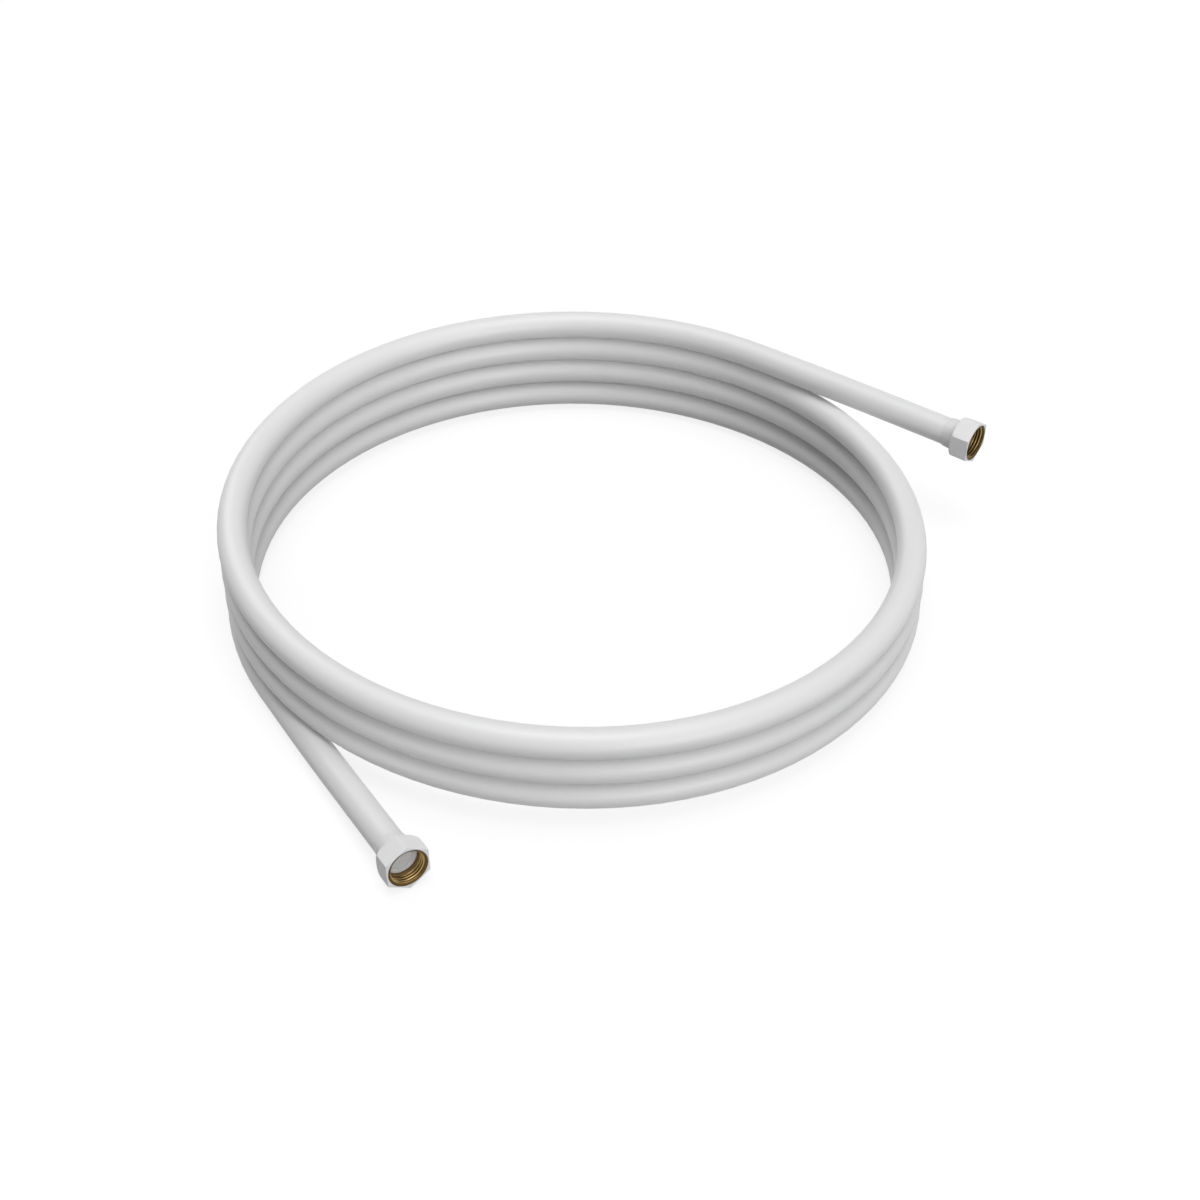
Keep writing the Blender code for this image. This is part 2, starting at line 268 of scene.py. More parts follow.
# %% [markdown]
# ## Geometry trees that become plain meshes
#
# Each geometry tree below has named inputs for its sizes. A modifier's input is set by the
# socket's identifier, which Blender gives it, and not by its name. When the shape is made, it is
# turned into a plain mesh, and the modifier goes away with its helper object.


# %% Helpers for geometry trees
def geometry_tree(name, inputs):
    """A geometry tree with named number inputs, a material input and a mesh output."""
    tree = bpy.data.node_groups.new(name, 'GeometryNodeTree')
    tree.interface.new_socket("Geometry", in_out='INPUT', socket_type='NodeSocketGeometry')
    for label, value in inputs.items():
        kind = 'NodeSocketInt' if isinstance(value, int) else 'NodeSocketFloat'
        socket = tree.interface.new_socket(label, in_out='INPUT', socket_type=kind)
        socket.default_value = value
    tree.interface.new_socket("Finish", in_out='INPUT', socket_type='NodeSocketMaterial')
    tree.interface.new_socket("Mesh", in_out='OUTPUT', socket_type='NodeSocketGeometry')
    return tree


def close_tree(field, geometry, group_in):
    """Ends a tree: smooth shading, Realize Instances, Set Material, then the output."""
    smooth = field.node('GeometryNodeSetShadeSmooth', Geometry=geometry)
    real = field.node('GeometryNodeRealizeInstances', in0=field.out(smooth, "Geometry"))
    painted = field.node('GeometryNodeSetMaterial', Geometry=field.out(real, "Geometry"),
                         Material=field.out(group_in, "Finish"))
    end = field.tree.nodes.new('NodeGroupOutput')
    field.tree.links.new(painted.outputs[0], end.inputs["Mesh"])


def grow(name, tree, finish, values=None, source=None):
    """Runs a geometry tree on a helper object and returns the result as a plain mesh object."""
    helper = source or bpy.data.objects.new(name + "_helper", bpy.data.meshes.new(name + "_helper"))
    bpy.context.scene.collection.objects.link(helper)
    modifier = helper.modifiers.new(name, 'NODES')
    modifier.node_group = tree
    given_values = {"Finish": finish, **(values or {})}
    for item in tree.interface.items_tree:
        if item.item_type == 'SOCKET' and item.in_out == 'INPUT' and item.name in given_values:
            modifier[item.identifier] = given_values[item.name]
    bpy.context.view_layer.update()
    grown = helper.evaluated_get(bpy.context.evaluated_depsgraph_get())
    mesh = bpy.data.meshes.new_from_object(grown)
    mesh.name = name
    bpy.data.objects.remove(helper, do_unlink=True)
    made = bpy.data.objects.new(name, mesh)
    bpy.context.scene.collection.objects.link(made)
    print(name, len(mesh.polygons), "faces")
    return made


# %% [markdown]
# ## Finishes
#
# Each finish starts from a Principled shader. What changes over a surface feeds only its colour,
# roughness and normal. Sizes of patterns are real: Object coordinates are in metres, so a noise
# scale of 900 gives waves of about a millimetre.


# %% Helpers for finishes
NOISE_ROUGHNESS = 0.55


def new_finish(name, colour, roughness, metallic=0.0, **fixed):
    """A material with a Principled shader, and a field to build on."""
    made = bpy.data.materials.new(name)
    made.use_nodes = True
    shader = made.node_tree.nodes["Principled BSDF"]
    shader.inputs["Base Color"].default_value = (*colour, 1.0)
    shader.inputs["Roughness"].default_value = roughness
    shader.inputs["Metallic"].default_value = metallic
    for label, value in fixed.items():
        shader.inputs[label].default_value = value
    made.diffuse_color = (*colour, 1.0)
    return made, shader, start(made.node_tree)


def noise(field, place, scale, detail=3.0):
    """Noise from 0 to 1 at a place."""
    made = field.node('ShaderNodeTexNoise', {"noise_dimensions": '3D'}, Vector=place, Scale=scale,
                      Detail=detail, Roughness=NOISE_ROUGHNESS)
    return field.out(made, "Factor" if "Factor" in made.outputs else "Fac")


def mix_colour(field, share, first, second):
    """Mixes two colours by a share from 0 to 1. The first may be a field."""
    made = field.tree.nodes.new('ShaderNodeMix')
    made.data_type = 'RGBA'
    field.feed(made.inputs[0], share)
    field.feed(made.inputs[6], first if isinstance(first, Field) else (*first, 1.0))
    field.feed(made.inputs[7], (*second, 1.0))
    return Field(field.tree, made.outputs[2])


def bump(field, shader, height, distance):
    """Turns a height field into the shader's normal."""
    made = field.node('ShaderNodeBump', Height=height, Distance=distance, Strength=1.0)
    field.tree.links.new(made.outputs[0], shader.inputs["Normal"])


# %% [markdown]
# ### White PVC
#
# The hose is extruded, so what little grain it has runs along it: faint die lines and slow, soft
# waves of gloss. A pattern that follows a bent tube needs its own coordinates. The geometry tree
# stores them as an attribute, `hose_place`: two numbers for the place round the tube and one for
# the place along it, so the pattern has no seam.

# %% Finish of the hose
PVC_WHITE, PVC_DULL, PVC_BRIGHT = (0.815, 0.815, 0.82), (0.80, 0.80, 0.803), (0.83, 0.83, 0.836)
LINE_STRETCH, WAVE_STRETCH = 0.012, 0.35
PVC_GRAIN_DEPTH = 0.00002

pvc, pvc_shader, f = new_finish("white_pvc", PVC_WHITE, 0.38, IOR=1.50)
stored = f.node('ShaderNodeAttribute', {"attribute_name": "hose_place"})
place = f.out(stored, "Vector")


def stretched(field, vector, along):
    """The hose's own coordinates with the pattern drawn out along it."""
    made = field.node('ShaderNodeVectorMath', {"operation": 'MULTIPLY'}, in0=vector)
    made.inputs[1].default_value = (1.0, 1.0, along)
    return Field(field.tree, made.outputs[0])


die_lines = noise(f, stretched(f, place, LINE_STRETCH), 900.0, 2.0)
slow = noise(f, stretched(f, place, WAVE_STRETCH), 60.0, 2.0)
grain = noise(f, place, 2600.0, 2.0)
shade = (slow - 0.5) * 0.5 + 0.5
f.feed(pvc_shader.inputs["Base Color"], mix_colour(f, shade.clamp(), PVC_DULL, PVC_BRIGHT))
f.feed(pvc_shader.inputs["Roughness"], (0.32 + slow * 0.10 + die_lines * 0.05).clamp(0.2, 0.7))
bump(f, pvc_shader, die_lines * 0.7 + grain * 0.3, PVC_GRAIN_DEPTH)

# %% [markdown]
# ### Coating, brass, rubber and steel
#
# The nuts and ferrules are coated white, a little brighter than the PVC, with the soft ripple that
# a sprayed coat has. The coat mirrors less than the PVC does, so its refractive index is lower.
# The nut is threaded and faced after coating, so its inside and a thin rim round the mouth are bare
# brass, with the fine rings of the tool. A Mapping node turns each pattern onto its fitting's own
# axis.


# %% Axes of the two fittings
def fitting_matrix(face, axis):
    """Where a fitting's own axes lie: Z out of the mouth, Y upward, origin at the nut's face."""
    z = axis.normalized()
    y = (Vector((0, 0, 1)) - z * z.z).normalized()
    return Matrix.Translation(face) @ Matrix((y.cross(z), y, z)).transposed().to_4x4()


ENDS = {"lower": fitting_matrix(lower_face, lower_axis),
        "upper": fitting_matrix(upper_face, upper_axis)}


def fitting_place(field, end):
    """Object coordinates turned into the fitting's own."""
    coordinates = field.node('ShaderNodeTexCoord')
    made = field.tree.nodes.new('ShaderNodeMapping')
    made.vector_type = 'TEXTURE'
    made.inputs["Location"].default_value = ENDS[end].translation
    made.inputs["Rotation"].default_value = ENDS[end].to_euler()
    field.tree.links.new(coordinates.outputs["Object"], made.inputs["Vector"])
    return Field(field.tree, made.outputs[0])


# %% White coating
COAT_WHITE, GRIME = (0.835, 0.835, 0.84), (0.60, 0.59, 0.57)
COAT_INDEX = 1.30
GRIME_FROM, GRIME_OVER = 0.0105, 0.0025
COAT_RIPPLE_DEPTH = 0.00003


def white_coating(end):
    """Sprayed white coat with a soft ripple and a trace of grime towards the ferrule."""
    made, shader, f = new_finish(end + "_white_coating", COAT_WHITE, 0.30, IOR=COAT_INDEX)
    place = fitting_place(f, end)
    z = split(f, place)[2]
    ripple = noise(f, place, 420.0, 2.0)
    speck = noise(f, place, 2400.0, 2.0)
    cloud = noise(f, place, 130.0)
    behind = ((z * -1 - GRIME_FROM) / GRIME_OVER).clamp()
    grime = behind * (cloud * 1.4 - 0.35).clamp() * 0.45
    f.feed(shader.inputs["Base Color"], mix_colour(f, grime, COAT_WHITE, GRIME))
    f.feed(shader.inputs["Roughness"], (0.35 + cloud * 0.08 + grime * 0.3).clamp(0.15, 0.8))
    bump(f, shader, ripple * 0.8 + speck * 0.2, COAT_RIPPLE_DEPTH)
    return made


coating = {end: white_coating(end) for end in ENDS}

# %% Turned brass
THREAD_MAJOR_R, THREAD_MINOR_R, THREAD_END = 0.0104775, 0.0093155, 0.0058
RIM_DEPTH = 0.0007
LOOK_FADE = 0.0002                       # over which one look gives way to the next
BRASS, BRASS_LIGHT, BRASS_DARK = (0.50, 0.39, 0.20), (0.51, 0.355, 0.155), (0.38, 0.255, 0.105)
# Brown of the shade painted into the thread's hollows and on the rim at the mouth.
SHADE_BROWN = (0.085, 0.052, 0.018)
TOOL_LINES, TOOL_WAVER = 9000.0, 0.8
TOOL_DEPTH = 0.000012


def ring_place(field, x, y, z, radius):
    """Coordinates that change fast along the axis and with the radius, and slowly round it."""
    made = field.node('ShaderNodeCombineXYZ', X=radius * TOOL_LINES, Y=z * TOOL_LINES,
                      Z=y.math('ARCTAN2', x) * TOOL_WAVER)
    return Field(field.tree, made.outputs[0])


def turned_brass(end):
    """Bare brass with tool rings, painted shade in the thread's hollows and on the rim, and a dull seat.
    """
    made, shader, f = new_finish(end + "_turned_brass", BRASS, 0.34, 1.0)
    place = fitting_place(f, end)
    x, y, z = split(f, place)
    radius = (x * x + y * y).math('SQRT')
    rings = noise(f, ring_place(f, x, y, z, radius), 1.0)
    cloud = noise(f, place, 260.0)
    hollow = ((radius - THREAD_MINOR_R) / (THREAD_MAJOR_R - THREAD_MINOR_R) * 1.7 - 0.35).clamp()
    rim = ((z + RIM_DEPTH) / LOOK_FADE).clamp()
    seat = ((z * -1 - THREAD_END) / LOOK_FADE).clamp()
    # Painted shade: the thread's hollows and the rim at the mouth are darkened in the colour, with some
    # random cloud. The same mask also makes them rougher.
    painted_shade = (hollow + rim + (cloud - 0.5) * 0.3).clamp()
    clean = mix_colour(f, cloud.clamp(), BRASS_LIGHT, BRASS_DARK)
    f.feed(shader.inputs["Base Color"], mix_colour(f, painted_shade * 0.9, clean, SHADE_BROWN))
    f.feed(shader.inputs["Roughness"], (0.26 + rings * 0.14 + painted_shade * 0.28 + seat * 0.26).clamp(0.15, 0.8))
    bump(f, shader, rings, TOOL_DEPTH)
    return made


brass = {end: turned_brass(end) for end in ENDS}

# %% Rubber and stainless mesh
RUBBER_DARK, RUBBER_LIGHT = (0.62, 0.62, 0.615), (0.72, 0.72, 0.71)
RUBBER_SPECKLE_DEPTH = 0.00003
STEEL, STEEL_DARK, STEEL_LIGHT = (0.84, 0.84, 0.835), (0.78, 0.78, 0.775), (0.90, 0.90, 0.895)


def grey_rubber(end):
    """Pale grey moulded rubber, matt, with a fine speckle."""
    made, shader, f = new_finish(end + "_grey_rubber", (0.62, 0.62, 0.62), 0.7)
    place = fitting_place(f, end)
    speckle = noise(f, place, 3200.0, 2.0)
    cloud = noise(f, place, 350.0)
    f.feed(shader.inputs["Base Color"], mix_colour(f, cloud, RUBBER_DARK, RUBBER_LIGHT))
    f.feed(shader.inputs["Roughness"], (0.62 + speckle * 0.2).clamp(0.4, 0.95))
    bump(f, shader, speckle, RUBBER_SPECKLE_DEPTH)
    return made


rubber = {end: grey_rubber(end) for end in ENDS}
steel, steel_shader, f = new_finish("strainer_steel", STEEL, 0.45, 0.15)
shimmer = noise(f, fitting_place(f, "lower"), 900.0, 2.0)
f.feed(steel_shader.inputs["Roughness"], (0.38 + shimmer * 0.2).clamp(0.2, 0.7))
f.feed(steel_shader.inputs["Base Color"], mix_colour(f, shimmer, STEEL_DARK, STEEL_LIGHT))
finishes = [pvc, steel, *coating.values(), *brass.values(), *rubber.values()]
print("finishes:", ", ".join(sorted(finish.name for finish in finishes)))

# %% [markdown]
# ## The hose
#
# Curve to Mesh sweeps a circle along the route. The tree stores where each point lies on the tube
# before it ends, which is only possible there, because a plain mesh no longer knows its curve.

# %% Tree that sweeps the hose
TUBE_SIDES = 48

sweep = geometry_tree("sweep_hose", {"Radius": HOSE_R, "Sides": TUBE_SIDES})
f = start(sweep)
given = sweep.nodes.new('NodeGroupInput')
along = f.node('GeometryNodeSplineParameter')
keep_along = f.tree.nodes.new('GeometryNodeCaptureAttribute')
keep_along.capture_items.new('FLOAT', "along")
f.feed(keep_along.inputs["Geometry"], f.out(given, "Geometry"))
f.feed(keep_along.inputs["along"], f.out(along, "Length"))
circle = f.node('GeometryNodeCurvePrimitiveCircle', Resolution=f.out(given, "Sides"),
                Radius=f.out(given, "Radius"))
around = f.node('GeometryNodeSplineParameter')
keep_around = f.tree.nodes.new('GeometryNodeCaptureAttribute')
keep_around.capture_items.new('FLOAT', "around")
f.feed(keep_around.inputs["Geometry"], f.out(circle, "Curve"))
f.feed(keep_around.inputs["around"], f.out(around, "Factor"))
swept = f.node('GeometryNodeCurveToMesh', Curve=f.out(keep_along, "Geometry"))
f.feed(swept.inputs["Profile Curve"], f.out(keep_around, "Geometry"))
turn = f.out(keep_around, "around") * (2 * pi)
radius = f.out(given, "Radius")
spot = f.node('ShaderNodeCombineXYZ', X=turn.cos() * radius, Y=turn.sin() * radius,
              Z=f.out(keep_along, "along"))
store = f.node('GeometryNodeStoreNamedAttribute', {"data_type": 'FLOAT_VECTOR', "domain": 'POINT'},
               Geometry=f.out(swept, "Mesh"), Name="hose_place", Value=f.out(spot, "Vector"))
close_tree(f, f.out(store, "Geometry"), given)

# %% Sweep it and give it its wall
line = bpy.data.curves.new("hose_line", 'CURVE')
line.dimensions = '3D'
line.twist_mode = 'Z_UP'
spline = line.splines.new('POLY')
spline.points.add(len(route) - 1)
for point, (spot, share) in zip(spline.points, route):
    point.co = (*spot, 1.0)
    point.radius = share
hose = grow("hose_tube", sweep, pvc, source=bpy.data.objects.new("hose_line", line))
wall = hose.modifiers.new("wall", 'SOLIDIFY')
wall.thickness = WALL
wall.offset = -1.0
wall.use_even_offset = True
wall.use_rim = True

# %% [markdown]
# ## The nuts
#
# A union nut starts as hexagon bar. The lathe turns the back to a round shoulder, so the flats run
# out in curves there, then bores it, cuts a groove behind the thread and faces the front. The mesh
# is made in the same order: rings of points round the axis, each ring either round or hexagonal,
# or the smaller of both, which is what turning does to a bar.

# %% Shape of the bar and the lathe
POINTS_PER_FLAT = 26
SHOULDER_STEPS, EDGE_STEPS = 12, 4
FLAT_DEPTHS = (0.0080, 0.0062, 0.0044, 0.0026, 0.0010)
CORNER_BREAK, EDGE_ROUND = 0.00008, 0.00022
RUN_OUT = 0.0005                         # softens the curves in which the flats run out
UNCUT = 1.0                              # a lathe radius that leaves the bar as it is
BARE_RIM = 0.00030                       # width of the bare brass on the nut's face
MOUTH_R, MOUTH_CHAMFER = 0.01095, 0.0008
MOUTH_EDGE_TOP, MOUTH_EDGE_MIDDLE, MOUTH_DEPTH = 0.00012, 0.00003, 0.00010
BEHIND = 0.00012                         # the bore lies so far behind the thread's root
RELIEF_R, RELIEF_WIDTH, RELIEF_EDGE = 0.01065, 0.0006, 0.0001
SEAT_R, SEAT_EDGE = 0.0096, 0.0002
BACK_WALL = 0.0112
NECK_HOLE_R, NECK_HOLE_EDGE = 0.0068, 0.0003

Ring = namedtuple("Ring", "radius depth is_bar zone", defaults=(False, 0))


def bar_angles():
    """Angles round the bar, closer together at the corners."""
    angles = []
    for flat in range(6):
        for i in range(POINTS_PER_FLAT):
            t = -1 + 2 * i / POINTS_PER_FLAT
            angles.append(radians(60 * flat + 30 + 30 * sin(t * pi / 2)))
    return angles


def soft_min(a, b, blend):
    """The smaller of two lengths, with the edge between them rounded."""
    h = max(blend - abs(a - b), 0.0) / blend
    return min(a, b) - h * h * blend / 4


def bar_radius(angle):
    """Radius of the hexagon bar at an angle, its corners slightly broken."""
    inside = angle % (pi / 3) - pi / 6
    return soft_min(NUT_FLAT_R / cos(inside), NUT_CORNER_R - CORNER_BREAK, 2 * CORNER_BREAK)


# %% Rings of the nut, from the back round the outside to the mouth and in to the back wall
def nut_rings():
    """All rings of a nut. Zone 0 is coated and zone 1 is brass."""
    rings = [Ring(NECK_HOLE_R, NUT_LENGTH), Ring(NECK_HOLE_R + NECK_HOLE_EDGE, NUT_LENGTH)]
    back_r = NUT_CORNER_R - NUT_SHOULDER
    for i in range(SHOULDER_STEPS + 1):
        a = pi / 2 * i / SHOULDER_STEPS
        rings.append(Ring(back_r + NUT_SHOULDER * sin(a), NUT_LENGTH - NUT_SHOULDER * (1 - cos(a)), True))
    rings += [Ring(UNCUT, depth, True) for depth in FLAT_DEPTHS]
    for i in range(EDGE_STEPS + 1):
        a = pi / 2 * i / EDGE_STEPS
        rings.append(Ring(-EDGE_ROUND * (1 - cos(a)), EDGE_ROUND * (1 - sin(a)), True))
    bore_r = THREAD_MAJOR_R + BEHIND
    relief_end = THREAD_END + RELIEF_WIDTH
    inside = [(MOUTH_R + BARE_RIM, 0.0), (MOUTH_R + MOUTH_EDGE_TOP, 0.0),
              (MOUTH_R + MOUTH_EDGE_MIDDLE, MOUTH_EDGE_MIDDLE), (MOUTH_R, MOUTH_DEPTH),
              (bore_r, RIM_DEPTH), (bore_r, THREAD_END),
              (RELIEF_R, THREAD_END + RELIEF_EDGE), (RELIEF_R, relief_end - RELIEF_EDGE),
              (SEAT_R + SEAT_EDGE, relief_end), (SEAT_R, relief_end + SEAT_EDGE),
              (SEAT_R, BACK_WALL), (NECK_HOLE_R, BACK_WALL)]
    return rings + [Ring(radius, depth, False, 1) for radius, depth in inside]


def ring_radius(ring, angle):
    """What is left of the bar at one point: a lathe radius of 0 or less is a cut into its edge."""
    if not ring.is_bar:
        return ring.radius
    bar = bar_radius(angle)
    if ring.radius <= 0:
        return bar + ring.radius
    return bar if ring.radius == UNCUT else soft_min(bar, ring.radius, RUN_OUT)


# %% Mesh of rings
def ring_mesh(name, end, rings, angles, materials, sharp=30):
    """Joins rings of points into a closed turned mesh in a fitting's place."""
    verts, faces, zones = [], [], []
    n = len(angles)
    for ring in rings:
        for angle in angles:
            r = ring_radius(ring, angle)
            verts.append(ENDS[end] @ Vector((r * sin(angle), r * cos(angle), -ring.depth)))
    for k, ring in enumerate(rings):
        after = (k + 1) % len(rings)
        for i in range(n):
            j = (i + 1) % n
            faces.append((k * n + i, after * n + i, after * n + j, k * n + j))
            zones.append(min(ring.zone, rings[after].zone))
    mesh = bpy.data.meshes.new(name)
    mesh.from_pydata(verts, [], faces)
    for material in materials:
        mesh.materials.append(material)
    mesh.polygons.foreach_set("material_index", zones)
    mesh.shade_smooth()
    mesh.set_sharp_from_angle(angle=radians(sharp))
    made = bpy.data.objects.new(name, mesh)
    bpy.context.scene.collection.objects.link(made)
    print(name, len(faces), "faces")
    return made


# %% [markdown]
# ### The thread
#
# The thread is a sheet wound on a screw line. A grid is bent: one way runs along the screw line,
# the other across one pitch, and the height follows the thread's form, a 55 degree V with rounded
# crest and root. The tap runs right through, and two more cuts end it: the cone at the mouth, which
# takes the larger radius, and the groove behind, where the sheet is tucked back to the bore. With a
# whole number of steps a turn, each turn's edge meets the next one's, and they are merged.

# %% Tree for the thread
THREAD_PITCH = 0.001814
THREAD_TURNS, THREAD_START = 4.2, -0.0004
STEPS_PER_TURN, STEPS_ACROSS = 90, 16
SHARP_HEIGHT, THREAD_HEIGHT = 0.9605, 0.6403    # of the sharp V and of the rounded thread, in pitches
HALF_ANGLE_TANGENT = 0.5206
ROUNDING = 0.22
MERGE = 0.000002

thread_tree = geometry_tree("pipe_thread", {"Major Radius": THREAD_MAJOR_R, "Pitch": THREAD_PITCH,
                                            "Turns": THREAD_TURNS, "Start Depth": THREAD_START,
                                            "Mouth Radius": MOUTH_R, "Mouth Depth": MOUTH_DEPTH,
                                            "Mouth Slope": 1.0, "End Depth": THREAD_END,
                                            "Bore Radius": THREAD_MAJOR_R + BEHIND,
                                            "Along": round(THREAD_TURNS * STEPS_PER_TURN) + 1,
                                            "Across": STEPS_ACROSS + 1})
f = start(thread_tree)
given = thread_tree.nodes.new('NodeGroupInput')
grid = f.node('GeometryNodeMeshGrid', Size_X=1.0, Size_Y=1.0, Vertices_X=f.out(given, "Along"),
              Vertices_Y=f.out(given, "Across"))
spot = f.node('GeometryNodeInputPosition')
x, y = split(f, f.out(spot, "Position"))[:2]
pitch = f.out(given, "Pitch")
turns = (x + 0.5) * f.out(given, "Turns")
angle = turns * (2 * pi)
flank = pitch * (SHARP_HEIGHT * 5 / 6) - (y * pitch).abs() / HALF_ANGLE_TANGENT
form = flank.math('SMOOTH_MAX', 0.0, pitch * ROUNDING)
form = form.math('SMOOTH_MIN', pitch * THREAD_HEIGHT, pitch * ROUNDING)
wound = f.out(given, "Start Depth") + pitch * (turns + y)
depth = wound.math('MAXIMUM', f.out(given, "Mouth Depth")).math('MINIMUM', f.out(given, "End Depth"))
cone = f.out(given, "Mouth Radius") - (depth - f.out(given, "Mouth Depth")) * f.out(given, "Mouth Slope")
cut = (f.out(given, "Major Radius") - form).math('MAXIMUM', cone)
past = wound.math('GREATER_THAN', f.out(given, "End Depth"))
radius = cut + (f.out(given, "Bore Radius") - cut) * past
bent = f.node('ShaderNodeCombineXYZ', X=angle.sin() * radius, Y=angle.cos() * radius, Z=depth * -1)
moved = f.node('GeometryNodeSetPosition', Geometry=f.out(grid, "Mesh"), Position=f.out(bent, "Vector"))
merged = f.node('GeometryNodeMergeByDistance', Geometry=f.out(moved, "Geometry"), Distance=MERGE)
inward = f.node('GeometryNodeFlipFaces', Mesh=f.out(merged, "Geometry"))
close_tree(f, f.out(inward, "Mesh"), given)


# %% Make the nuts
def join(target, *others):
    """Joins plain mesh objects into the first."""
    with bpy.context.temp_override(active_object=target, selected_editable_objects=[target, *others]):
        bpy.ops.object.join()
    return target


def union_nut(end):
    """The turned hexagon with its thread."""
    name = end + "_union_nut"
    body = ring_mesh(name, end, nut_rings(), bar_angles(), [coating[end], brass[end]])
    slope = (MOUTH_R - THREAD_MINOR_R) / MOUTH_CHAMFER
    thread = grow(name + "_thread", thread_tree, brass[end], {"Mouth Slope": slope})
    thread.data.transform(ENDS[end])
    thread.data.set_sharp_from_angle(angle=radians(50))
    return join(body, thread)


nuts = {end: union_nut(end) for end in ENDS}

# %% [markdown]
# ## Ferrules, washers and the strainer
#
# The ferrule is a short white collar, fullest near the nut and tapering to a thin edge on the hose.
# The washers are flat rubber rings, well rounded at the front where they are seen.

# %% Ferrule
ROUND_STEPS = 112
ROUND = [2 * pi * i / ROUND_STEPS for i in range(ROUND_STEPS)]
FERRULE_HOLE_R = 0.0067
FERRULE_FRONT, FERRULE_LIP = 0.0129, 0.0008
FERRULE_CROWN_R, FERRULE_CROWN_AT, FERRULE_DROP = 0.0093, 0.0022, 0.0008
FERRULE_EDGE, FERRULE_STEPS = 0.0002, 10
FERRULE_GRIP_R = 0.0082
# Pairs of radius and depth: the outside from the crown to the back edge, then in under the edge.
FERRULE_TAPER = [(0.00927, 0.0164), (0.00918, 0.0176), (0.00904, 0.0187), (0.00895, 0.01925),
                 (0.00886, 0.01943), (0.00872, FERRULE_BACK), (0.00852, FERRULE_BACK), (0.0084, 0.0194)]


def ferrule(end):
    """Turned collar round the hose's end."""
    lip = FERRULE_FRONT + FERRULE_LIP
    profile = [(FERRULE_HOLE_R, lip), (FERRULE_HOLE_R, FERRULE_FRONT),
               (FERRULE_CROWN_R - FERRULE_DROP - FERRULE_EDGE, FERRULE_FRONT)]
    for i in range(1, FERRULE_STEPS + 1):
        a = pi / 2 * i / FERRULE_STEPS
        profile.append((FERRULE_CROWN_R - FERRULE_DROP * (1 - sin(a)),
                        FERRULE_FRONT + FERRULE_CROWN_AT * (1 - cos(a))))
    profile += FERRULE_TAPER + [(FERRULE_GRIP_R, CRIMP_TO), (FERRULE_GRIP_R, lip)]
    rings = [Ring(*pair) for pair in reversed(profile)]
    return ring_mesh(end + "_crimp_ferrule", end, rings, ROUND, [coating[end]])


ferrules = {end: ferrule(end) for end in ENDS}

# %% Washers
WASHER_FRONT, WASHER_BACK, WASHER_R, WASHER_HOLE_R = 0.0083, 0.0097, 0.0093, 0.0065
WASHER_EDGE, WASHER_SOFT, WASHER_STEPS = 0.0002, 0.00045, 6


def washer(end):
    """Flat ring with broken edges and a rounded front."""
    profile = [(WASHER_HOLE_R, WASHER_FRONT + WASHER_EDGE), (WASHER_HOLE_R, WASHER_BACK - WASHER_EDGE),
               (WASHER_HOLE_R + WASHER_EDGE, WASHER_BACK), (WASHER_R - WASHER_EDGE, WASHER_BACK),
               (WASHER_R, WASHER_BACK - WASHER_EDGE)]
    for i in range(WASHER_STEPS + 1):
        a = pi / 2 * i / WASHER_STEPS
        profile.append((WASHER_R - WASHER_SOFT * (1 - cos(a)), WASHER_FRONT + WASHER_SOFT * (1 - sin(a))))
    profile.append((WASHER_HOLE_R + WASHER_EDGE, WASHER_FRONT))
    rings = [Ring(*pair) for pair in profile]
    return ring_mesh(end + "_flat_washer", end, rings, ROUND, [rubber[end]], sharp=50)


washers = {end: washer(end) for end in ENDS}

# %% [markdown]
# The strainer is woven wire. Each wire passes over one and under the next, so its height is a
# cosine of its place along, and neighbours are half a wave apart. The tree starts from a grid and
# drops its cross edges, which leaves one line for each wire. Then it does the same crosswise.

# %% Tree for woven wire
STRAINER_R, STRAINER_MIDDLE = 0.0064, 0.00885
WIRE_R, WIRE_SPACING = 0.00012, 0.00036
WIRE_POINTS, WIRE_SIDES = 180, 5
SAME_ROW = 0.0001

